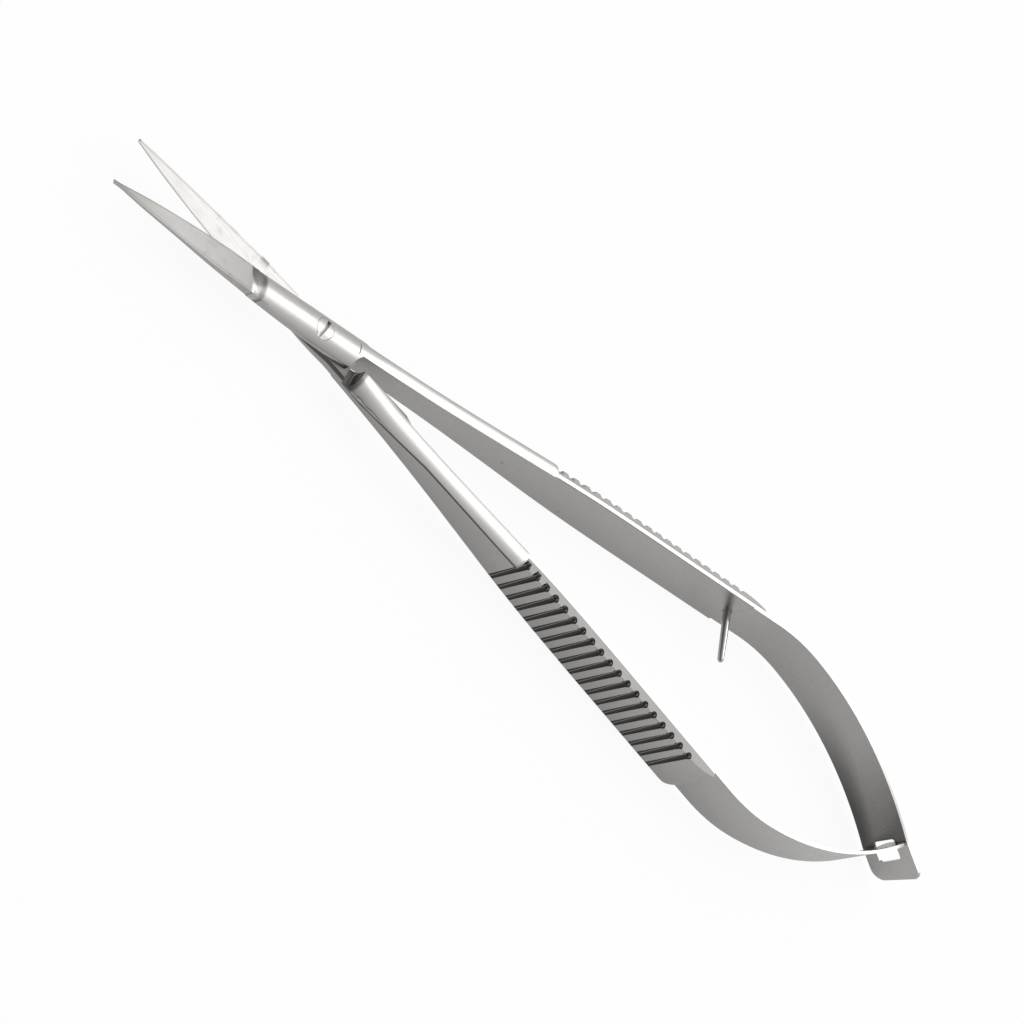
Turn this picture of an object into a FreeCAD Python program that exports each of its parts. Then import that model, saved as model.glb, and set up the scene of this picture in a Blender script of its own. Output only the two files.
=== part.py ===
import FreeCAD, Part
import os
from math import cos, degrees, radians, sin, tan

V = FreeCAD.Vector
os.makedirs("parts", exist_ok=True)

# Whole tool, millimetres and degrees. X runs along the tool to the tail,
# Z is the pivot axis, and each half is drawn in its own arm frame first.
HALF_OPENING = 9.0
CLOSING = 5.8
INNER_OFFSET = -0.25
HANDLE_END = 62.75
LAP_GAP = 0.02
BIG = 20.0

# Lapped shank
SHANK_R = 1.65
SHANK_TOP = 1.38
SHANK_WIDER = 0.3
SHANK_FRONT = -8.9
SHOULDER_SLOPE = 1.3
NOTCH_X = 5.9
NOTCH_R = 0.9
LAP_RUNOUT = (4.4, 5.2)
BACK_ROOT = -1.02
BACK_MIDDLE = -1.34
BLADE_ROOT = -6.8

# Pivot screw
HEAD_D = 2.1
HEAD_SEAT = 0.55
SCREW_D = 1.4
PIVOT_CLEARANCE = 0.03
SLOT_W = 0.42
SLOT_DEPTH = 0.4
SLOT_ANGLE = 76.0

# Handle section
GRIP_HALF = 3.1
TOP_FLAT = 0.47
BEVEL_DROP = 0.36
GRIP_T = 1.3
FRONT_T = 1.15
LOW_CORNER = 0.4
EDGE_BREAK = 0.08
RIDGE_R = 1.5
RIDGE_T = 0.45
RIDGE_END = 31.0
WEDGE_END = 14.0
WEDGE_T = 0.6

# Grip grooves
GROOVES = 19
GROOVE_FIRST = 31.45
GROOVE_PITCH = 1.517
GROOVE_R = 0.36
GROOVE_DEPTH = 0.42
GROOVE_RUNOUT = 0.04
SCOOP_R = 0.46

# Leaf springs
STRIP_T = 0.35
STRIP_W = 2 * GRIP_HALF - 0.35
STRIP_RAISE = GRIP_HALF - STRIP_W / 2
STRIP_LAP = 2.0
LEAD_L = 2.4
BEND_R = 21.24
BEND_TURN = 17.74
BOW_R = 35.74
BOW_TURN = 36.07
HOOK_SWAY = 0.5
TAB_L = 4.4
TAB_BEND = 9.5
TAB_SKEW = 5.6
TAIL_SLOT_W = 2.8
TAIL_SLOT_BEFORE = 0.75
TAIL_SLOT_AFTER = 1.95
TONGUE_CLEARANCE = 0.2
TONGUE_SHOULDER = 0.6
TONGUE_L = 2.0

# Stop pin
PIN_X = 60.15
PIN_LEAN = 3.0
PIN_D = 0.65
PIN_TIP_D = 0.5
PIN_L = 5.75
PIN_SEAT = 0.9


def polygon_face(points):
    return Part.Face(Part.makePolygon([V(*p) for p in points + points[:1]]))


def prism(points, z0, z1):
    """Solid between two heights over a plan outline of x, y points."""
    return polygon_face([(x, y, z0) for x, y in points]).extrude(V(0, 0, z1 - z0))


def profile(points, y0, y1):
    """Solid across the arm from a side outline of x, z points."""
    return polygon_face([(x, y0, z) for x, z in points]).extrude(V(0, y1 - y0, 0))


def arc(a, b, c):
    return Part.Arc(V(*a), V(*b), V(*c)).toShape()


def line(a, b):
    return Part.makeLine(V(*a), V(*b))


def mix(a, b, w):
    return a + (b - a) * w


# Height of the arm above and depth below the middle plane, along its length
ARM_HEIGHTS = [(4.6, 1.46, 1.62), (9.6, 1.51, 1.66), (14.6, 1.65, 1.78), (19.6, 1.91, 2.0),
               (24.6, 2.25, 2.3), (29.6, 2.6, 2.62), (34.6, 2.9, 2.9),
               (39.6, 3.05, 3.05), (44.6, GRIP_HALF, GRIP_HALF)]
CREASE = [(3.0, -0.5), (5.0, -0.3), (11.0, 0.35), (17.0, 1.0), (RIDGE_END, 1.72)]


def arm_section(x, up, down):
    """Closed wire of the arm: flat inner and outer faces, bevel along the top."""
    w = min(max((x - 5.0) / 27.0, 0.0), 1.0)
    y = INNER_OFFSET
    e = EDGE_BREAK
    t = mix(FRONT_T, GRIP_T, w)
    r = LOW_CORNER
    turn = 0.29289 * r
    p = [(y + e, -down), (y, -down + e), (y, up - e), (y + e, up), (y + TOP_FLAT, up),
         (y + t, up - BEVEL_DROP), (y + t, -down + r), (y + t - r, -down)]
    p = [(x,) + q for q in p]
    edges = [line(p[i], p[i + 1]) for i in range(6)]
    edges.append(arc(p[6], (x, y + t - turn, -down + turn), p[7]))
    edges.append(line(p[7], p[0]))
    return Part.Wire(edges)


def ridge():
    """Round ridge left along the top of the front arm above the milled flat."""
    y = INNER_OFFSET + RIDGE_T
    rings = []
    for x, up, down in ARM_HEIGHTS[:6]:
        rings.append(ring_at(x, y, up - RIDGE_R))
    up = mix(ARM_HEIGHTS[5][1], ARM_HEIGHTS[6][1], (RIDGE_END - 29.6) / 5.0)
    rings.append(ring_at(RIDGE_END, y, up - RIDGE_R))
    rod = Part.makeLoft(rings, True, False)
    above = profile(CREASE + [(RIDGE_END, 5.0), (3.0, 5.0)], INNER_OFFSET, 5)
    return rod.common(above)


def ring_at(x, y, z):
    return Part.Wire([Part.makeCircle(RIDGE_R, V(x, y, z), V(1, 0, 0))])


def groove_cutter():
    """Ball-nosed cut, deepest in the scoop below the bevel, run out at the bottom."""
    y = INNER_OFFSET + GRIP_T + GROOVE_R
    top = V(0, y - GROOVE_DEPTH, GRIP_HALF - BEVEL_DROP - 0.22)
    low = V(0, y - GROOVE_RUNOUT, -GRIP_HALF + 0.35)
    along = low.sub(top)
    rod = Part.makeCylinder(GROOVE_R, along.Length, top, along)
    scoop = Part.makeSphere(SCOOP_R, top)
    return rod.fuse(scoop)


def rear_end_cutter():
    """Curve of the handle's outside down to the thin end, seen from above."""
    y = INNER_OFFSET
    top = y + GRIP_T + 0.02
    end = y + STRIP_T + 0.35
    x0 = HANDLE_END - 3.4
    curve = arc((x0, top, -5), (HANDLE_END - 1.5, mix(top, end, 0.32), -5),
                (HANDLE_END, end, -5))
    rest = [line((HANDLE_END, end, -5), (HANDLE_END + 1, end, -5)),
            line((HANDLE_END + 1, end, -5), (HANDLE_END + 1, top + 1, -5)),
            line((HANDLE_END + 1, top + 1, -5), (x0, top + 1, -5)),
            line((x0, top + 1, -5), (x0, top, -5))]
    return Part.Face(Part.Wire([curve] + rest)).extrude(V(0, 0, 10))


def corner_cutter(x, z, r, sx, sz, y0, y1):
    """What a rounded corner of radius r leaves outside it, in side view."""
    block = Part.makeBox(r + 1, y1 - y0, r + 1)
    block.translate(V(x - r if sx > 0 else x - 1, y0, z - r if sz > 0 else z - 1))
    core = Part.makeCylinder(r, y1 - y0 + 2, V(x - sx * r, y0 - 1, z - sz * r), V(0, 1, 0))
    return block.cut(core)


def shank_profile(x, level):
    """Half-round section with a short flat on top, on the lap plane."""
    z0 = level * LAP_GAP / 2
    top = level * SHANK_TOP
    r = SHANK_R
    zc = SHANK_TOP - r
    half = (r * r - (LAP_GAP / 2 - zc) ** 2) ** 0.5
    k = 0.70711 * r
    w = SHANK_WIDER
    edges = [arc((x, -half, z0), (x, -k, level * (zc + k)), (x, 0, top)),
             line((x, 0, top), (x, w, top)),
             arc((x, w, top), (x, w + k, level * (zc + k)), (x, w + half, z0)),
             line((x, w + half, z0), (x, -half, z0))]
    return Part.Face(Part.Wire(edges))


def lap_shank(level):
    """Shank of one half on its side of the lap, blade-back side ground flat."""
    x0 = SHANK_FRONT
    run0, run1 = LAP_RUNOUT
    wide = SHANK_R + SHANK_WIDER
    rod = shank_profile(x0, level).extrude(V(run1 + 2 - x0, 0, 0))
    y_in = INNER_OFFSET
    run = arc((run0, -SHANK_R, -5),
              (mix(run0, run1, 0.42), mix(-SHANK_R, y_in, 0.72), -5), (run1, y_in, -5))
    back = arc((x0, BACK_ROOT, -5), (-4.9, BACK_MIDDLE, -5), (3.0, -SHANK_R, -5))
    points = [(run1, y_in), (run1 + 1.4, y_in), (run1 + 1.4, 0.6), (run1 - 0.1, wide),
              (x0, wide), (x0, BACK_ROOT)]
    edges = [line(points[i] + (-5,), points[i + 1] + (-5,)) for i in range(5)]
    edges += [back, line((3.0, -SHANK_R, -5), (run0, -SHANK_R, -5)), run]
    plan = Part.Face(Part.Wire(edges)).extrude(V(0, 0, 10))
    shank = rod.common(plan)
    top = level * (SHANK_TOP + 0.2)
    slope = profile([(x0 - 1, 0), (x0, 0), (x0 + SHOULDER_SLOPE, top), (x0 - 1, top)], -5, 5)
    return shank.cut(slope)


def inner_wedge():
    """What the inner cutter leaves of the round bar, run out in a hollow curve."""
    y = INNER_OFFSET
    x0 = NOTCH_X + 0.3
    x1 = WEDGE_END
    far = y - WEDGE_T
    run = arc((x1 - 1.7, far, -5), (x1 - 1.0, mix(far, y, 0.7), -5), (x1, y, -5))
    edges = [line((x0, y, -5), (x1 - 1.7, far, -5)), run, line((x1, y, -5), (x1, y + 0.5, -5)),
             line((x1, y + 0.5, -5), (x0, y + 0.5, -5)), line((x0, y + 0.5, -5), (x0, y, -5))]
    plan = Part.Face(Part.Wire(edges)).extrude(V(0, 0, 10))
    bar = Part.makeCylinder(ARM_HEIGHTS[0][1], x1 + 1 - x0, V(x0, 0, 0), V(1, 0, 0))
    return bar.common(plan)


# Blade stations: x, back y, edge y, height of the back
BLADE = [(BLADE_ROOT, -1.17, 2.08, 1.1), (-9.0, -0.95, 2.17, 0.95), (-11.6, -0.70, 2.24, 0.72),
         (-14.5, -0.38, 2.23, 0.52), (-17.5, 0.03, 2.12, 0.4), (-20.6, 0.4, 1.95, 0.34),
         (-23.4, 0.78, 1.7, 0.31), (-25.4, 1.08, 1.48, 0.28)]
EDGE_LAND = 0.05


def blade(level, reach):
    z0 = level * LAP_GAP / 2
    tip = BLADE[-1][0]
    wires = []
    for x, back, edge, height in BLADE:
        if x == tip:
            x = -reach
        base = level * EDGE_LAND + z0
        points = [(x, back, z0), (x, back, z0 + level * height), (x, edge, base),
                  (x, edge, z0)]
        wires.append(Part.makePolygon([V(*p) for p in points + points[:1]]))
    solid = Part.makeLoft(wires, True, False)
    heel = prism([(BLADE_ROOT + 0.1, 1.5), (BLADE_ROOT + 0.1, 2.6), (-8.6, 2.6),
                  (-7.9, 2.0)], -3, 3)
    point = prism([(-reach - 1, 1.15), (-reach + 0.25, 1.15), (-reach, 1.3),
                   (-reach - 0.2, 1.6), (-reach - 1, 1.6)], -3, 3)
    return solid.cut(heel).cut(point)


def half(level, reach):
    """One half in its arm frame, handle on +Y; level is 1 upper, -1 lower."""
    arm = Part.makeLoft([arm_section(*row) for row in ARM_HEIGHTS], True, False)
    rear_x = ARM_HEIGHTS[-1][0]
    rear = Part.Face(arm_section(*ARM_HEIGHTS[-1])).extrude(V(HANDLE_END - rear_x, 0, 0))
    arm = arm.fuse([rear, ridge()])
    # the level that belongs to the other half is cut away up to the notch
    z0 = level * LAP_GAP / 2
    far = z0 - level * 4
    notch = profile([(0, z0), (NOTCH_X, z0), (NOTCH_X, far), (0, far)], -5, 5)
    notch = notch.cut(corner_cutter(NOTCH_X, z0, NOTCH_R, 1, level, -5, 5))
    arm = arm.cut(notch)
    cutter = groove_cutter()
    tools = []
    for i in range(GROOVES):
        tool = cutter.copy()
        tool.translate(V(GROOVE_FIRST + i * GROOVE_PITCH, 0, 0))
        tools.append(tool)
    arm = arm.cut(tools)
    arm = arm.cut(rear_end_cutter())
    outside = INNER_OFFSET + STRIP_T
    arm = arm.cut(corner_cutter(HANDLE_END, -GRIP_HALF, 1.2, 1, -1, outside, 5))
    arm = arm.cut(corner_cutter(HANDLE_END, GRIP_HALF, 0.4, 1, 1, outside, 5))
    rebate = Part.makeBox(STRIP_LAP + 1, STRIP_T + 1, 2 * GRIP_HALF + 2,
                          V(HANDLE_END - STRIP_LAP, INNER_OFFSET - 1, -GRIP_HALF - 1))
    arm = arm.cut(rebate)
    more = [lap_shank(level), blade(level, reach)]
    if level < 0:
        more.append(inner_wedge())
    return arm.fuse(more).removeSplitter()


def strip_stations(sway):
    """Centreline of a spring from the handle end: x, y, heading at each joint."""
    x = HANDLE_END
    y = INNER_OFFSET + STRIP_T / 2
    a = 0.0
    stations = [(x, y, a)]
    x += LEAD_L
    stations.append((x, y, a))
    for r, turn in ((BEND_R, BEND_TURN - sway), (BOW_R, BOW_TURN)):
        for part in (0.5, 0.5):
            b = a - radians(turn * part)
            x += r * (sin(a) - sin(b))
            y += r * (cos(b) - cos(a))
            a = b
            stations.append((x, y, a))
    return stations


def strip(sway, extra, bend):
    """Bowed strip of one thickness, its last stretch turned by bend at the hook."""
    stations = strip_stations(sway)
    x, y, a = stations[-1]
    b = a + radians(bend)
    stations[-1] = (x, y, (a + b) / 2)
    stations.append((x + extra * cos(b), y + extra * sin(b), b))
    lead = (HANDLE_END - STRIP_LAP + 0.02, INNER_OFFSET + STRIP_T / 2, 0.0)
    sides = []
    for d in (STRIP_T / 2, -STRIP_T / 2):
        sides.append([(X - d * sin(A), Y + d * cos(A), -STRIP_W / 2)
                      for X, Y, A in [lead] + stations])
    edges = [line(sides[0][0], sides[1][0]), line(sides[0][7], sides[1][7])]
    for p in sides:
        edges += [line(p[0], p[2]), arc(p[2], p[3], p[4]), arc(p[4], p[5], p[6]),
                  line(p[6], p[7])]
    wire = Part.Wire(Part.__sortEdges__(edges))
    return Part.Face(wire).extrude(V(0, 0, STRIP_W))


def at_hook(shape, sway, bend):
    """Carry a cutter drawn at the origin to the hook, X along the strip."""
    x, y, a = strip_stations(sway)[-1]
    shape.rotate(V(0, 0, 0), V(0, 0, 1), degrees(a) + bend)
    shape.translate(V(x, y, 0))
    return shape


def rounded_block(x0, x1, y0, y1, z0, z1, r):
    block = Part.makeBox(x1 - x0, y1 - y0, z1 - z0, V(x0, y0, z0))
    edges = [e for e in block.Edges
             if abs(abs(e.tangentAt(e.FirstParameter).y) - 1) < 1e-6]
    return block.makeFillet(r, edges)


def slotted_spring():
    spring = strip(HOOK_SWAY, TAB_L, TAB_BEND)
    slot = rounded_block(-TAIL_SLOT_BEFORE, TAIL_SLOT_AFTER, -1, 1,
                         -TAIL_SLOT_W / 2, TAIL_SLOT_W / 2, 0.35)
    spring = spring.cut(at_hook(slot, HOOK_SWAY, TAB_BEND / 2))
    short = TAB_L - (STRIP_W - 1.6) * tan(radians(TAB_SKEW))
    low = corner_cutter(short, -STRIP_W / 2, 1.6, 1, -1, -1, 1)
    high = corner_cutter(TAB_L - 0.05, STRIP_W / 2, 0.7, 1, 1, -1, 1)
    end = Part.makeBox(5, 2, 3 * STRIP_W, V(TAB_L, -1, -2 * STRIP_W))
    end.rotate(V(TAB_L, 0, STRIP_W / 2), V(0, 1, 0), TAB_SKEW)
    return spring.cut([at_hook(c, HOOK_SWAY, TAB_BEND) for c in (low, high, end)])


def tongued_spring():
    spring = strip(-HOOK_SWAY, TONGUE_L, 0.0)
    half_tongue = TAIL_SLOT_W / 2 - TONGUE_CLEARANCE
    tools = []
    for s in (1, -1):
        z0 = half_tongue if s > 0 else -STRIP_W
        tools.append(Part.makeBox(TONGUE_L + 2, 2, STRIP_W - half_tongue,
                                  V(-TONGUE_SHOULDER, -1, z0)))
        tools.append(corner_cutter(TONGUE_L, s * half_tongue, 0.4, 1, s, -1, 1))
    return spring.cut([at_hook(c, -HOOK_SWAY, 0.0) for c in tools])


def stop_pin():
    """Pressed shank, slight taper and a rounded end, pointing to -Y."""
    r = PIN_D / 2
    t = PIN_TIP_D / 2
    pressed = Part.makeCylinder(r, PIN_SEAT, V(0, 0, 0), V(0, 1, 0))
    taper = Part.makeCone(r, t, PIN_L - t, V(0, 0, 0), V(0, -1, 0))
    nose = Part.makeSphere(t, V(0, t - PIN_L, 0), V(0, -1, 0))
    pin = pressed.fuse([taper, nose]).removeSplitter()
    pin.rotate(V(0, 0, 0), V(0, 0, 1), PIN_LEAN)
    pin.translate(V(PIN_X, INNER_OFFSET, 0))
    return pin


def pivot_screw():
    """Head ground flush with the upper shank, thread end flush below."""
    head = Part.makeCylinder(HEAD_D / 2, 3, V(0, 0, HEAD_SEAT))
    shank = Part.makeCylinder(SCREW_D / 2, HEAD_SEAT + 3, V(0, 0, -3))
    above = shank_profile(-4, 1).extrude(V(8, 0, 0))
    below = shank_profile(-4, -1).extrude(V(8, 0, 0))
    middle = Part.makeBox(8, 8, LAP_GAP, V(-4, -4, -LAP_GAP / 2))
    above.rotate(V(0, 0, 0), V(0, 0, 1), HALF_OPENING)
    below = below.mirror(V(0, 0, 0), V(0, 1, 0))
    below.rotate(V(0, 0, 0), V(0, 0, 1), -HALF_OPENING)
    core = above.fuse([below, middle])
    screw = head.common(above).fuse(shank.common(core))
    slot = Part.makeBox(4, SLOT_W, 2, V(-2, -SLOT_W / 2, SHANK_TOP - SLOT_DEPTH))
    slot.rotate(V(0, 0, 0), V(0, 0, 1), SLOT_ANGLE)
    return screw.cut(slot).removeSplitter()


def place(shape, side):
    """Arm frame to the open tool; side 1 is the upper half, -1 the mirrored lower."""
    if side < 0:
        shape = shape.mirror(V(0, 0, 0), V(0, 1, 0))
    shape.rotate(V(0, 0, 0), V(0, 0, 1), side * HALF_OPENING)
    return shape


upper = half(1, 26.0)
pin_hole = Part.makeCylinder(PIN_D / 2, PIN_SEAT + 1, V(0, -1, 0), V(0, 1, 0))
pin_hole.rotate(V(0, 0, 0), V(0, 0, 1), PIN_LEAN)
pin_hole.translate(V(PIN_X, INNER_OFFSET, 0))
upper = upper.cut(pin_hole)
counterbore = Part.makeCylinder(HEAD_D / 2 + PIVOT_CLEARANCE, 4, V(0, 0, HEAD_SEAT - LAP_GAP))
bearing = Part.makeCylinder(SCREW_D / 2 + PIVOT_CLEARANCE, 4, V(0, 0, -2))
upper = upper.cut([counterbore, bearing])
lower = half(-1, 25.3)
lower = lower.cut(Part.makeCylinder(SCREW_D / 2, 4, V(0, 0, -2)))

pieces = {
    "upper_blade_handle": place(upper, 1),
    "lower_blade_handle": place(lower, -1),
    "pivot_screw": pivot_screw(),
    "slotted_leaf_spring": place(slotted_spring().translated(V(0, 0, STRIP_RAISE)), 1),
    "tongued_leaf_spring": place(tongued_spring().translated(V(0, 0, STRIP_RAISE)), -1),
    "stop_pin": place(stop_pin(), 1),
}

# Origin at the middle of the underside of the whole tool
box = Part.makeCompound(list(pieces.values())).optimalBoundingBox()
shift = V(-box.Center.x, -box.Center.y, -box.ZMin)
print("pivot at", [round(v, 4) for v in shift])
print("size", round(box.XLength, 3), round(box.YLength, 3), round(box.ZLength, 3))
for name, shape in pieces.items():
    shape.translate(shift)
    print(name, shape.ShapeType, len(shape.Solids), shape.isValid(), round(shape.Volume, 3))
    shape.exportStep("parts/" + name + ".step")
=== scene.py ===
from math import cos, pi, radians, sin

import bmesh
import bpy
from mathutils import Matrix, Vector


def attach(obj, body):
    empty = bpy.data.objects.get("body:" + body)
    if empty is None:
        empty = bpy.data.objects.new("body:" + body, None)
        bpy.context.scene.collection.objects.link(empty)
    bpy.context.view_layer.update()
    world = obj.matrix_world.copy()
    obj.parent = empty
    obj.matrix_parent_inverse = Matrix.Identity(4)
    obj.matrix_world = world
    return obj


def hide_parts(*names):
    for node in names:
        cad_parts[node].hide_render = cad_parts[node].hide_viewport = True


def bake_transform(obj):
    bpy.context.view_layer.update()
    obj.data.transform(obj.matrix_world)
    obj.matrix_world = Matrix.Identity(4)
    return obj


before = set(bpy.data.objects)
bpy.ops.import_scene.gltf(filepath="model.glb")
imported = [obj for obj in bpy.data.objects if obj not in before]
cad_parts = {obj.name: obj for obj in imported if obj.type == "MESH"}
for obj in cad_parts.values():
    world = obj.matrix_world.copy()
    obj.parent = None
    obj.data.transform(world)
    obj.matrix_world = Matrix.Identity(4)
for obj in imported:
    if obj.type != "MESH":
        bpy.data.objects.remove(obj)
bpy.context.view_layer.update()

MM = 0.001

# Pivot on the tool's mid-plane in metres, and half the angle between the open arms
PIVOT = Vector((-0.0341617, 0.0, 0.0031))
HALF_OPENING = radians(9.0)

# Camera found from the photograph: place in metres, then its right, down and forward
CAM_FROM_PIVOT = Vector((-0.15720, -0.19167, 0.24032))
RIGHT = (0.6334323, 0.28658706, 0.71877074)
DOWN = (0.5748596, -0.79607863, -0.18919635)
FORWARD = (0.5179768, 0.53303534, -0.66900924)
LENS_MM = 130.39
SENSOR_MM = 36.0

# Floor, with its emission as the eye sees it and as metal sees it
FLOOR_Z = -0.0002
FLOOR_SIZE = 3.0
FLOOR_GREY = (0.9, 0.9, 0.9, 1.0)
FLOOR_FOR_EYE = 0.53
FLOOR_FOR_ALL = 0.4

# Soft box behind the tool as the camera sees it
BOX_WAY = Vector((0.518, 0.43, 0.74)).normalized()
BOX_DISTANCE = 0.6
BOX_SIZE = 0.36
BOX_RADIANCE = 2.1
# Brightness of the studio against the cosine of the angle from the soft box
STUDIO = ((-1.0, 0.18), (0.0, 0.26), (0.38, 0.5), (0.65, 0.9), (0.85, 1.2), (1.0, 1.5))

# Steel colours
HANDLE = (0.40, 0.39, 0.378)
SPRING = (0.40, 0.392, 0.38)
FINE = (0.42, 0.41, 0.40)

# Arm sizes in mm: x back from the pivot, y outward from the middle, z up
INNER_FACE = -0.25
PIN_X = 60.15
PIN_LEAN = radians(3.0)
GROOVE_START = 30.6915
GROOVE_PITCH = 1.517
GROOVED = (31.0, 59.2)
RIDGE_RADIUS = 2.3
RIDGE_OFFSET = 0.34
RIDGE_END = (30.6, 31.2)
# Slope and offset of the crease beside the ridge, in front and behind
CREASE_FRONT = (0.1071, -0.82)
CREASE_REAR = (0.0514, 0.126)
# Blade outline, as terms of the distance from the blade's root and widest place
BLADE_ROOT = -9.0
BACK_TERMS = (-0.95, 0.0975, 0.0016)
BLADE_WIDEST = -12.0
EDGE_TERMS = (2.24, 0.0, -0.0042)

# Pits, a darker ring round the pin's base and a small spot: centre and radius
UPPER_SPOTS = (((26.34, INNER_FACE, -0.5), 0.2), ((36.37, INNER_FACE, -2.16), 0.16),
               ((60.2, INNER_FACE, 0.0), 0.75), ((60.91, INNER_FACE, 1.22), 0.13))

# Milled side beside the pivot, as a plan outline
MILLED_PLAN = ((-3.5, 1.96), (3.0, 0.93), (5.0, 0.905), (9.0, 0.905), (9.0, 4.0), (-3.5, 4.0))
MILLED_Z = (-3.0, 0.0)

# Springs: slices across the strip, and the stretch over which it bends
SLICES = 56
SLICE_START = 61.2
SLICE_STEP = 0.6
# The hook, and the slot's front end, which sits closer to the tongue
HOOK = Vector((0.056408, 0.000363, 0.003275))
HOOK_TURN = radians(-39.56)
SLOT_FRONT = (-0.9, -0.2)
SLOT_HALF_HEIGHT = 1.45
SLOT_SHIFT = 0.38

# Stop pin as radius and height over the handle's inner face
PIN_OUTLINE = ((0.0, 0.9), (0.43, 0.9), (0.43, 0.0), (0.42, -0.6), (0.36, -4.6),
               (0.34, -5.35), (0.29, -5.55), (0.19, -5.7), (0.0, -5.75))
PIN_SIDES = 28


def add_camera():
    data = bpy.data.cameras.new("camera")
    cam = bpy.data.objects.new("camera", data)
    bpy.context.scene.collection.objects.link(cam)
    columns = [Vector(RIGHT), -Vector(DOWN), -Vector(FORWARD)]
    matrix = Matrix.Identity(4)
    for i, column in enumerate(columns):
        column = column.normalized()
        for j in range(3):
            matrix[j][i] = column[j]
    for j in range(3):
        matrix[j][3] = (PIVOT + CAM_FROM_PIVOT)[j]
    cam.matrix_world = matrix
    data.lens = LENS_MM
    data.sensor_width = SENSOR_MM
    data.clip_start = 0.01
    data.clip_end = 20.0
    bpy.context.scene.camera = cam


# Helpers for shader nodes

def new_material(name):
    mat = bpy.data.materials.new(name)
    mat.use_nodes = True
    nt = mat.node_tree
    nt.nodes.clear()
    out = nt.nodes.new("ShaderNodeOutputMaterial")
    bsdf = nt.nodes.new("ShaderNodeBsdfPrincipled")
    nt.links.new(bsdf.outputs["BSDF"], out.inputs["Surface"])
    return mat, nt, bsdf


def feed(nt, socket, value):
    """Link a socket to an output, or set it to a plain number."""
    if isinstance(value, (int, float)):
        socket.default_value = value
    else:
        nt.links.new(value, socket)


def calc(nt, op, a, b=0.0):
    node = nt.nodes.new("ShaderNodeMath")
    node.operation = op
    feed(nt, node.inputs[0], a)
    feed(nt, node.inputs[1], b)
    return node.outputs[0]


def times(nt, first, *others):
    """Product of all the values."""
    for value in others:
        first = calc(nt, "MULTIPLY", first, value)
    return first


def largest(nt, first, *others):
    for value in others:
        first = calc(nt, "MAXIMUM", first, value)
    return first


def one_less(nt, value):
    """One minus the value."""
    return calc(nt, "SUBTRACT", 1.0, value)


def away(nt, value, centre):
    """Distance of the value from a centre, never negative."""
    return calc(nt, "ABSOLUTE", calc(nt, "SUBTRACT", value, centre))


def straight(nt, x, slope, offset):
    return calc(nt, "ADD", calc(nt, "MULTIPLY", x, slope), offset)


def curve(nt, x, terms):
    """Sum of a constant, a linear and a square term in x."""
    constant, linear, square = terms
    total = straight(nt, x, linear, constant)
    return calc(nt, "ADD", total, times(nt, x, x, square))


def fade(nt, value, low, high, to_low=0.0, to_high=1.0):
    """Smooth step of value from low to high."""
    node = nt.nodes.new("ShaderNodeMapRange")
    node.interpolation_type = "SMOOTHSTEP"
    feed(nt, node.inputs["Value"], value)
    for key, number in (("From Min", low), ("From Max", high),
                        ("To Min", to_low), ("To Max", to_high)):
        node.inputs[key].default_value = number
    return node.outputs["Result"]


def fade_out(nt, value, low, high, peak=1.0):
    """Smooth step of value down from a peak at low to nothing at high."""
    return fade(nt, value, low, high, peak, 0.0)


def arm_space(nt, side):
    """Coordinates in mm along one arm, from the pivot: x back, y outward, z up."""
    turn = -side * HALF_OPENING
    coord = nt.nodes.new("ShaderNodeTexCoord")
    mapping = nt.nodes.new("ShaderNodeMapping")
    nt.links.new(coord.outputs["Object"], mapping.inputs["Vector"])
    scale = 1.0 / MM
    shift = Matrix.Rotation(turn, 3, "Z") @ PIVOT
    mapping.inputs["Rotation"].default_value = (0.0, 0.0, turn)
    mapping.inputs["Scale"].default_value = (scale, scale, scale)
    mapping.inputs["Location"].default_value = tuple(-scale * c for c in shift)
    split = nt.nodes.new("ShaderNodeSeparateXYZ")
    nt.links.new(mapping.outputs["Vector"], split.inputs["Vector"])
    x, y, z = split.outputs
    if side < 0:
        y = calc(nt, "MULTIPLY", y, -1.0)
    return mapping.outputs["Vector"], x, y, z


def noise(nt, vector, scale, detail=3.0):
    """Noise with a scale of its own along each axis."""
    stretch = nt.nodes.new("ShaderNodeMapping")
    stretch.inputs["Scale"].default_value = scale
    nt.links.new(vector, stretch.inputs["Vector"])
    node = nt.nodes.new("ShaderNodeTexNoise")
    node.inputs["Scale"].default_value = 1.0
    node.inputs["Detail"].default_value = detail
    nt.links.new(stretch.outputs["Vector"], node.inputs["Vector"])
    return node.outputs["Fac"]


def spot(nt, vector, centre, radius, wobble):
    """One inside a small ragged spot, nothing outside."""
    node = nt.nodes.new("ShaderNodeVectorMath")
    node.operation = "DISTANCE"
    nt.links.new(vector, node.inputs[0])
    node.inputs[1].default_value = centre
    distance = calc(nt, "ADD", node.outputs["Value"], times(nt, wobble, radius))
    return fade_out(nt, distance, 0.9 * radius, 1.4 * radius)


# Masks and tones of the steel, each in one arm's coordinates

def crease_height(nt, x):
    """Height of the crease between the round ridge and the milled flat."""
    return calc(nt, "MINIMUM", straight(nt, x, *CREASE_FRONT), straight(nt, x, *CREASE_REAR))


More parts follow.
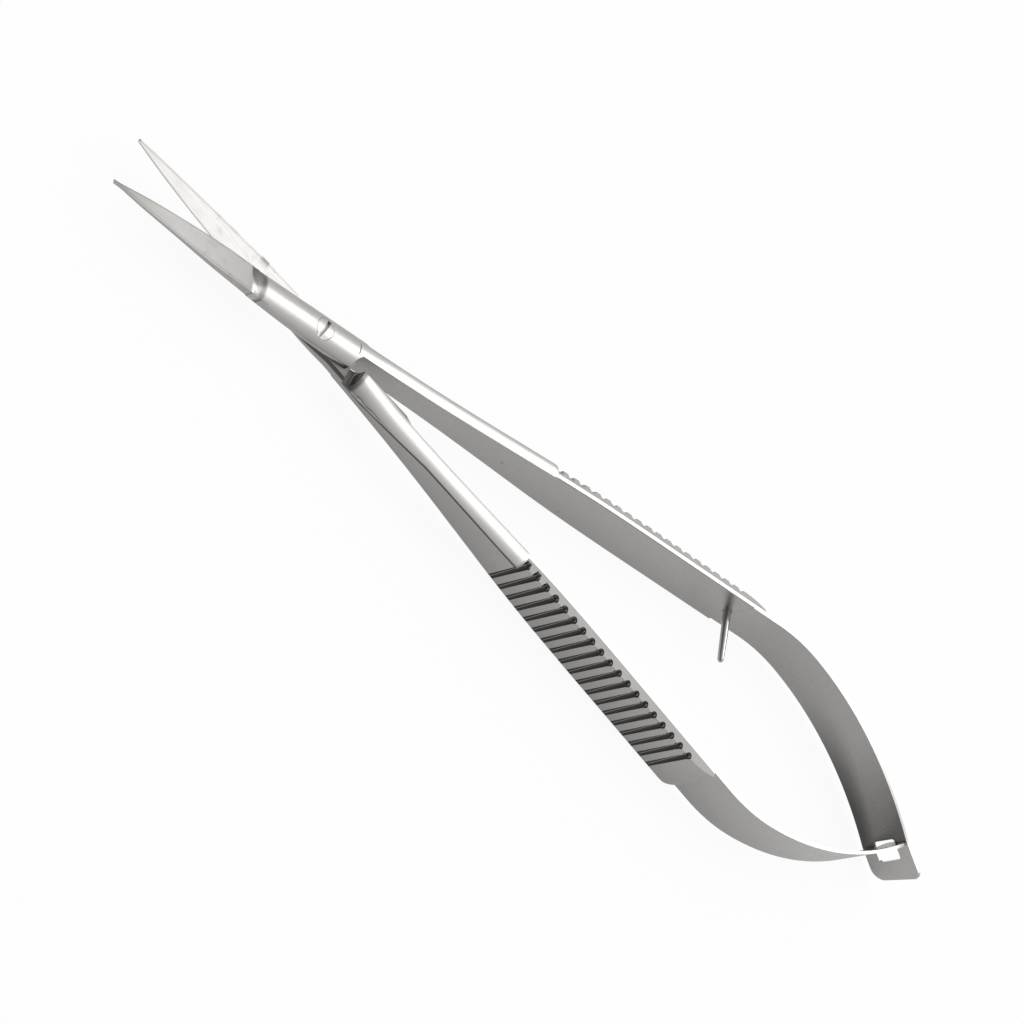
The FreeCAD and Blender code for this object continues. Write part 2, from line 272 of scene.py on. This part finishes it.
def ridge_normal(nt, side, x, y):
    """Normal of a round ridge that runs along the arm."""
    centre = fade(nt, x, 3.0, 12.0, 0.0, RIDGE_OFFSET)
    slope = calc(nt, "DIVIDE", calc(nt, "SUBTRACT", y, centre), RIDGE_RADIUS)
    slope = calc(nt, "MINIMUM", calc(nt, "MAXIMUM", slope, -0.9), 0.9)
    rise = calc(nt, "SQRT", one_less(nt, times(nt, slope, slope)))
    across = nt.nodes.new("ShaderNodeVectorMath")
    across.operation = "SCALE"
    across.inputs[0].default_value = (-sin(HALF_OPENING), side * cos(HALF_OPENING), 0.0)
    feed(nt, across.inputs["Scale"], slope)
    up = nt.nodes.new("ShaderNodeCombineXYZ")
    feed(nt, up.inputs["Z"], rise)
    total = nt.nodes.new("ShaderNodeVectorMath")
    total.operation = "ADD"
    nt.links.new(across.outputs["Vector"], total.inputs[0])
    nt.links.new(up.outputs["Vector"], total.inputs[1])
    turn = nt.nodes.new("ShaderNodeVectorTransform")
    turn.vector_type = "NORMAL"
    turn.convert_from = "OBJECT"
    turn.convert_to = "WORLD"
    nt.links.new(total.outputs["Vector"], turn.inputs["Vector"])
    return turn.outputs["Vector"]


def ridge_mask(nt, x, y, z):
    """Where the ridge's own normal holds: shank, its flare, and the blade's shoulder."""
    geometry = nt.nodes.new("ShaderNodeNewGeometry")
    split = nt.nodes.new("ShaderNodeSeparateXYZ")
    nt.links.new(geometry.outputs["Normal"], split.inputs["Vector"])
    above = calc(nt, "SUBTRACT", z, crease_height(nt, x))
    shank = times(nt, fade(nt, split.outputs["Z"], 0.3, 0.45), fade(nt, above, 0.02, 0.1),
                  fade(nt, z, 0.3, 0.45), fade(nt, x, -8.0, -7.6))
    flare = times(nt, fade(nt, z, 0.2, 0.4), fade(nt, y, -0.2, -0.1), fade(nt, x, 2.2, 2.6),
                  fade(nt, x, 7.4, 7.0))
    shoulder = times(nt, fade(nt, z, -0.1, 0.1), fade(nt, x, -9.1, -8.6),
                     fade_out(nt, x, -7.9, -7.5))
    return times(nt, largest(nt, shank, flare, shoulder), fade_out(nt, x, *RIDGE_END))


def crown(nt, side, x, y, z, plain, head):
    """The plain normal, with the round ridge's mixed in along shank and front arm."""
    where = fade(nt, z, -0.5, -0.4) if head else ridge_mask(nt, x, y, z)
    mix = nt.nodes.new("ShaderNodeMix")
    mix.data_type = "VECTOR"
    feed(nt, mix.inputs["Factor"], where)
    vectors = [i for i in mix.inputs if i.type == "VECTOR" and i.name in ("A", "B")]
    nt.links.new(plain, vectors[0])
    nt.links.new(ridge_normal(nt, side, x, y), vectors[1])
    return [o for o in mix.outputs if o.type == "VECTOR"][0]


def blade_shade_and_stains(nt, vector, x, y, side):
    """Painted shade lines along a blade's back and edge, faint stains, and a painted overall
    shift, darker on the lower blade and lighter on the upper.
    """
    from_root = calc(nt, "SUBTRACT", BLADE_ROOT, x)
    from_widest = calc(nt, "SUBTRACT", x, BLADE_WIDEST)
    from_back = calc(nt, "SUBTRACT", y, curve(nt, from_root, BACK_TERMS))
    from_edge = calc(nt, "SUBTRACT", curve(nt, from_widest, EDGE_TERMS), y)
    edge_shade_line = fade_out(nt, from_edge, 0.06, 0.2, 0.3)
    back_shade_line = times(nt, fade(nt, from_back, 0.1, 0.16), fade_out(nt, from_back, 0.26, 0.34),
                      0.2)
    stain = fade(nt, noise(nt, vector, (0.5, 0.8, 0.8), 5.0), 0.52, 0.62)
    stain = times(nt, stain, fade(nt, x, -17.5, -14.5), 0.1)
    shade_and_stain = calc(nt, "ADD", largest(nt, edge_shade_line, back_shade_line), stain)
    # Painted shade over the lower blade, painted light over the upper
    shade_and_stain = calc(nt, "ADD", shade_and_stain, 0.14 if side < 0 else -0.06)
    end = -9.4 if side > 0 else -3.6
    return one_less(nt, times(nt, shade_and_stain, fade_out(nt, x, end, end + 0.4)))


def crease_shade(nt, x, y, z):
    """Painted dark line of shade in the crease beside the ridge."""
    off = calc(nt, "ABSOLUTE", calc(nt, "SUBTRACT", z, crease_height(nt, x)))
    line = times(nt, fade_out(nt, off, 0.06, 0.24), fade(nt, x, 5.5, 6.5),
                 fade_out(nt, x, 31.0, 31.3), fade(nt, y, 0.5, 0.6))
    return fade(nt, line, 0.0, 1.0, 1.0, 0.3)


def shoulder_shade(nt, x):
    """Painted dark line of shade where the upper shank meets its blade's shoulder."""
    return one_less(nt, fade_out(nt, away(nt, x, -7.85), 0.05, 0.4, 0.42))


def recess_tone(nt, x, z):
    """Shaded lap face and notch of the lower half, under the upper one."""
    lap = times(nt, fade_out(nt, away(nt, z, 0.0), 0.5, 0.7), fade(nt, x, -3.0, 0.5),
                fade_out(nt, x, 5.2, 6.0), 0.8)
    notch = times(nt, fade_out(nt, away(nt, x, 5.5), 0.6, 1.1, 0.7), fade(nt, z, -0.6, -0.2))
    return one_less(nt, largest(nt, lap, notch))


def groove_shade_mask(nt, x, y, z):
    """Painted shade on the grip's groove floors, each with a painted highlight line along its
    middle.
    """
    phase = calc(nt, "DIVIDE", calc(nt, "SUBTRACT", x, GROOVE_START), GROOVE_PITCH)
    off = times(nt, away(nt, calc(nt, "FRACT", phase), 0.5), GROOVE_PITCH)
    groove_highlight_line = fade_out(nt, off, 0.02, 0.08, 0.55)
    first, last = GROOVED
    return times(nt, fade_out(nt, off, 0.29, 0.38), fade(nt, y, 0.42, 0.5),
                 fade(nt, x, first - 0.1, first), fade_out(nt, z, 2.66, 2.8),
                 fade_out(nt, x, last, last + 0.1), one_less(nt, groove_highlight_line))


def upper_tail_reflection(nt, x, z):
    """Painted dark reflection along the upper spring towards the hook, deepest low down."""
    before_hook = fade_out(nt, x, 89.5, 89.9)
    run = times(nt, fade(nt, x, 80.0, 89.0), before_hook, 0.38)
    low = times(nt, fade(nt, x, 74.0, 88.0), before_hook, fade_out(nt, z, -2.6, 1.4, 0.72))
    return one_less(nt, largest(nt, run, low))


def lower_tongue_shade(nt, x, z):
    """Painted shade on the lower spring's tongue inside the slot."""
    return fade(nt, x, 88.4, 89.2, 1.0, 0.45)


def steel(name, base, roughness, side=1, spots=(), groove_shade=0.0, ridged=False, head=False,
          tail=None):
    """Satin steel with fine lengthwise grain, faint blotches and pits; where asked, painted
    shade and highlights on the groove floors, painted shade in creases, along blade lines and on
    the spring tails, and painted light in the screw's slot.
    """
    mat, nt, bsdf = new_material(name)
    bsdf.inputs["Metallic"].default_value = 1.0
    vector, x, y, z = arm_space(nt, side)
    grain = noise(nt, vector, (0.25, 7.0, 7.0))
    blotch = noise(nt, vector, (0.35, 0.8, 0.8), 4.0)
    rough = [fade(nt, grain, 0.3, 0.7, roughness - 0.03, roughness + 0.03),
             fade(nt, blotch, 0.3, 0.7, -0.025, 0.035)]
    tones = [fade(nt, blotch, 0.25, 0.75, 0.97, 1.02)]
    pits = 0.0
    if spots:
        wobble = noise(nt, vector, (6.0, 6.0, 6.0), 2.0)
        pits = largest(nt, *[spot(nt, vector, c, r, wobble) for c, r in spots])
        tones.append(fade(nt, pits, 0.0, 1.0, 1.0, 0.45))
        rough.append(times(nt, pits, 0.25))
    if groove_shade:
        # Painted shade on the groove floors, with a painted highlight along each middle
        cut = groove_shade_mask(nt, x, y, z)
        tones.append(fade(nt, cut, 0.0, 1.0, 1.0, 1.0 - groove_shade))
        rough.append(times(nt, cut, 0.12))
    if ridged:
        # Painted shade in the crease beside the ridge and along the blade's back and edge, with
        # faint stains on the blade
        tones += [crease_shade(nt, x, y, z), blade_shade_and_stains(nt, vector, x, y, side)]
        # Painted shade at the upper shank's shoulder, or on the lower half's lap face and notch
        tones.append(shoulder_shade(nt, x) if side > 0 else recess_tone(nt, x, z))
    if head:
        # Screw head: darker past its rim, and painted light, 1.8 times as bright, below a height
        # of 1 mm, which takes in the slot
        reach = calc(nt, "SQRT", calc(nt, "ADD", times(nt, x, x), times(nt, y, y)))
        rim = fade(nt, reach, 0.95, 1.03)
        tones += [fade(nt, rim, 0.0, 1.0, 1.0, 0.72), fade(nt, z, 1.0, 1.25, 1.8, 1.0)]
        rough.append(fade_out(nt, z, 1.0, 1.25, 0.2))
    if tail:
        # Painted dark reflection on the upper spring's tail, painted shade on the lower spring's
        # tongue
        tones.append(tail(nt, x, z))

    colour = nt.nodes.new("ShaderNodeVectorMath")
    colour.operation = "SCALE"
    colour.inputs[0].default_value = base
    feed(nt, colour.inputs["Scale"], times(nt, *tones))
    nt.links.new(colour.outputs["Vector"], bsdf.inputs["Base Color"])
    total = rough[0]
    for value in rough[1:]:
        total = calc(nt, "ADD", total, value)
    nt.links.new(total, bsdf.inputs["Roughness"])

    bump = nt.nodes.new("ShaderNodeBump")
    bump.inputs["Strength"].default_value = 0.14
    bump.inputs["Distance"].default_value = 0.00001
    height = calc(nt, "SUBTRACT", times(nt, grain, 0.4), pits)
    nt.links.new(height, bump.inputs["Height"])
    normal = bump.outputs["Normal"]
    if ridged or head:
        normal = crown(nt, side, x, y, z, normal, head)
    nt.links.new(normal, bsdf.inputs["Normal"])
    return mat


# Pieces

def dress(node, mat):
    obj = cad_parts[node]
    if not obj.material_slots:
        obj.data.materials.append(mat)
    for slot in obj.material_slots:
        slot.material = mat


def arm_frame(side):
    """Matrix from one arm's coordinates in mm, y outward, to the row frame."""
    mirror = Matrix.Diagonal((MM, side * MM, MM, 1.0))
    turn = Matrix.Rotation(side * HALF_OPENING, 4, "Z")
    return Matrix.Translation(PIVOT) @ turn @ mirror


def new_object(name, mesh):
    obj = bpy.data.objects.new(name, mesh)
    bpy.context.scene.collection.objects.link(obj)
    return obj


def smooth(mesh, degrees_sharp):
    mesh.polygons.foreach_set("use_smooth", [True] * len(mesh.polygons))
    mesh.set_sharp_from_angle(angle=radians(degrees_sharp))


def copied_mesh(node):
    """Copy of a node's mesh in the row frame."""
    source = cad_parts[node]
    mesh = source.data.copy()
    mesh.transform(source.matrix_world)
    return mesh


def prism(outline, low_z, high_z):
    """Upright prism over an outline of x, y points."""
    bm = bmesh.new()
    low = [bm.verts.new((x, y, low_z)) for x, y in outline]
    high = [bm.verts.new((x, y, high_z)) for x, y in outline]
    bm.faces.new(low[::-1])
    bm.faces.new(high)
    for i in range(len(outline)):
        j = (i + 1) % len(outline)
        bm.faces.new((low[i], low[j], high[j], high[i]))
    bmesh.ops.recalc_face_normals(bm, faces=bm.faces[:])
    mesh = bpy.data.meshes.new("cutter")
    bm.to_mesh(mesh)
    bm.free()
    return mesh


def lower_ground(node, mat):
    """Lower half with its milled side carried forward beside the pivot."""
    side = -1
    shown = new_object(node.replace("_handle", "_ground"), copied_mesh(node))
    cutter_mesh = prism(MILLED_PLAN, *MILLED_Z)
    cutter_mesh.transform(arm_frame(side))
    cutter_mesh.flip_normals()
    cutter = new_object("cutter", cutter_mesh)
    cut = shown.modifiers.new("cut", "BOOLEAN")
    cut.operation = "DIFFERENCE"
    cut.solver = "EXACT"
    cut.object = cutter
    bpy.context.view_layer.update()
    result = bpy.data.meshes.new_from_object(
        shown.evaluated_get(bpy.context.evaluated_depsgraph_get()))
    shown.modifiers.clear()
    shown.data = result
    bpy.data.objects.remove(cutter)
    result.materials.clear()
    result.materials.append(mat)
    smooth(result, 24)
    back = arm_frame(side).inverted()
    for face in result.polygons:
        x, y, z = back @ face.center
        crease = min(k * x + c for k, c in (CREASE_FRONT, CREASE_REAR))
        milled = y < INNER_FACE + 0.05 or z < crease - 0.02
        steep = abs(face.normal.z) < 0.4
        if x > GROOVED[0] or (x > 5.0 and steep and milled):
            face.use_smooth = False
    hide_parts(node)
    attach(shown, "lower_half")


def bending_strip(node, side, mat, slotted):
    """The spring as one strip, sliced across between its handle and its own body."""
    mesh = copied_mesh(node)
    along = Vector((cos(HALF_OPENING), side * sin(HALF_OPENING), 0.0))
    bm = bmesh.new()
    bm.from_mesh(mesh)
    for i in range(SLICES):
        point = PIVOT + along * (SLICE_START + SLICE_STEP * i) * MM
        geometry = bm.verts[:] + bm.edges[:] + bm.faces[:]
        bmesh.ops.bisect_plane(bm, geom=geometry, plane_co=point, plane_no=along)
    if slotted:
        way = Vector((cos(HOOK_TURN), sin(HOOK_TURN), 0.0))
        for v in bm.verts:
            out = v.co - HOOK
            if (SLOT_FRONT[0] < out.dot(way) / MM < SLOT_FRONT[1]
                    and abs(out.z) < SLOT_HALF_HEIGHT * MM):
                v.co += way * SLOT_SHIFT * MM
    bm.to_mesh(mesh)
    bm.free()
    strip = new_object(node.replace("_leaf", "_bent"), mesh)
    mesh.materials.clear()
    mesh.materials.append(mat)
    smooth(mesh, 30)
    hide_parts(node)
    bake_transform(strip)


def stop_pin(mat):
    """Slightly tapered pin with a rounded end, leaning towards the tail."""
    bm = bmesh.new()
    angles = [radians(360.0 * k / PIN_SIDES) for k in range(PIN_SIDES)]
    rings = []
    for r, y in PIN_OUTLINE:
        used = angles[:1] if r == 0.0 else angles
        rings.append([bm.verts.new((r * cos(a), y, r * sin(a))) for a in used])
    for a, b in zip(rings, rings[1:]):
        for k in range(PIN_SIDES):
            m = (k + 1) % PIN_SIDES
            corners = (a[k % len(a)], a[m % len(a)], b[m % len(b)], b[k % len(b)])
            bm.faces.new(tuple(dict.fromkeys(corners)))
    bmesh.ops.recalc_face_normals(bm, faces=bm.faces[:])
    mesh = bpy.data.meshes.new("stop_pin_turned")
    bm.to_mesh(mesh)
    bm.free()
    seat = Matrix.Translation((PIN_X, INNER_FACE, 0.0)) @ Matrix.Rotation(PIN_LEAN, 4, "Z")
    mesh.transform(arm_frame(1) @ seat)
    mesh.materials.append(mat)
    smooth(mesh, 40)
    pin = new_object("stop_pin_turned", mesh)
    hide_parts("stop_pin")
    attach(pin, "upper_half")


# Floor and light

def add_floor():
    """Pale floor; eye, metal and glass see it near white with a faint shadow."""
    bpy.ops.mesh.primitive_plane_add(size=FLOOR_SIZE, location=(0, 0, FLOOR_Z))
    floor = bpy.context.object
    floor.name = "floor"
    mat, nt, bsdf = new_material("floor")
    bsdf.inputs["Base Color"].default_value = FLOOR_GREY
    bsdf.inputs["Roughness"].default_value = 0.9
    bsdf.inputs["Specular IOR Level"].default_value = 0.0
    white = nt.nodes.new("ShaderNodeEmission")
    white.inputs["Color"].default_value = (1.0, 1.0, 1.0, 1.0)
    white.inputs["Strength"].default_value = 1.0
    path = nt.nodes.new("ShaderNodeLightPath")
    camera_ray = path.outputs["Is Camera Ray"]
    seen = largest(nt, camera_ray, path.outputs["Is Glossy Ray"],
                   path.outputs["Is Transmission Ray"])
    share = calc(nt, "ADD", times(nt, camera_ray, FLOOR_FOR_EYE), times(nt, seen, FLOOR_FOR_ALL))
    mix = nt.nodes.new("ShaderNodeMixShader")
    feed(nt, mix.inputs["Fac"], share)
    nt.links.new(bsdf.outputs["BSDF"], mix.inputs[1])
    nt.links.new(white.outputs["Emission"], mix.inputs[2])
    nt.links.new(mix.outputs["Shader"], nt.nodes["Material Output"].inputs["Surface"])
    floor.data.materials.append(mat)


def add_softbox():
    """Square soft box, aimed at the middle of the tool."""
    data = bpy.data.lights.new("softbox", "AREA")
    data.shape = "SQUARE"
    data.size = BOX_SIZE
    data.energy = BOX_RADIANCE * pi * BOX_SIZE * BOX_SIZE
    box = new_object("softbox", data)
    box.location = BOX_WAY * BOX_DISTANCE
    box.rotation_euler = (-BOX_WAY).to_track_quat("-Z", "Y").to_euler()


def set_world():
    """Studio that brightens towards the soft box."""
    world = bpy.data.worlds.new("studio")
    bpy.context.scene.world = world
    world.use_nodes = True
    nt = world.node_tree
    nt.nodes.clear()
    out = nt.nodes.new("ShaderNodeOutputWorld")
    sky = nt.nodes.new("ShaderNodeBackground")
    coord = nt.nodes.new("ShaderNodeTexCoord")
    dot = nt.nodes.new("ShaderNodeVectorMath")
    dot.operation = "DOT_PRODUCT"
    nt.links.new(coord.outputs["Generated"], dot.inputs[0])
    dot.inputs[1].default_value = BOX_WAY
    ramp = nt.nodes.new("ShaderNodeValToRGB")
    ramp.color_ramp.interpolation = "EASE"
    top = STUDIO[-1][1]
    elements = ramp.color_ramp.elements
    while len(elements) < len(STUDIO):
        elements.new(0.5)
    for element, (cosine, level) in zip(elements, STUDIO):
        element.position = (cosine + 1.0) / 2.0
    for element, (cosine, level) in zip(elements, STUDIO):
        element.color = (level / top, level / top, level / top, 1.0)
    feed(nt, ramp.inputs["Fac"], straight(nt, dot.outputs["Value"], 0.5, 0.5))
    nt.links.new(ramp.outputs["Color"], sky.inputs["Color"])
    sky.inputs["Strength"].default_value = top
    nt.links.new(sky.outputs["Background"], out.inputs["Surface"])


add_camera()

satin_upper = steel("satin_upper", HANDLE, 0.3, 1, spots=UPPER_SPOTS, groove_shade=0.35, ridged=True)
satin_lower = steel("satin_lower", HANDLE, 0.3, -1, groove_shade=0.86, ridged=True)
strip_upper = steel("strip_upper", SPRING, 0.3, 1, tail=upper_tail_reflection)
strip_lower = steel("strip_lower", SPRING, 0.3, -1, tail=lower_tongue_shade)
screw_steel = steel("screw_steel", HANDLE, 0.3, 1, head=True)
fine_steel = steel("fine_steel", FINE, 0.2)

dress("pivot_screw", screw_steel)
dress("upper_blade_handle", satin_upper)
lower_ground("lower_blade_handle", satin_lower)
bending_strip("slotted_leaf_spring", 1, strip_upper, slotted=True)
bending_strip("tongued_leaf_spring", -1, strip_lower, slotted=False)
stop_pin(fine_steel)

add_floor()
set_world()
add_softbox()

bpy.context.scene.view_settings.view_transform = "Standard"
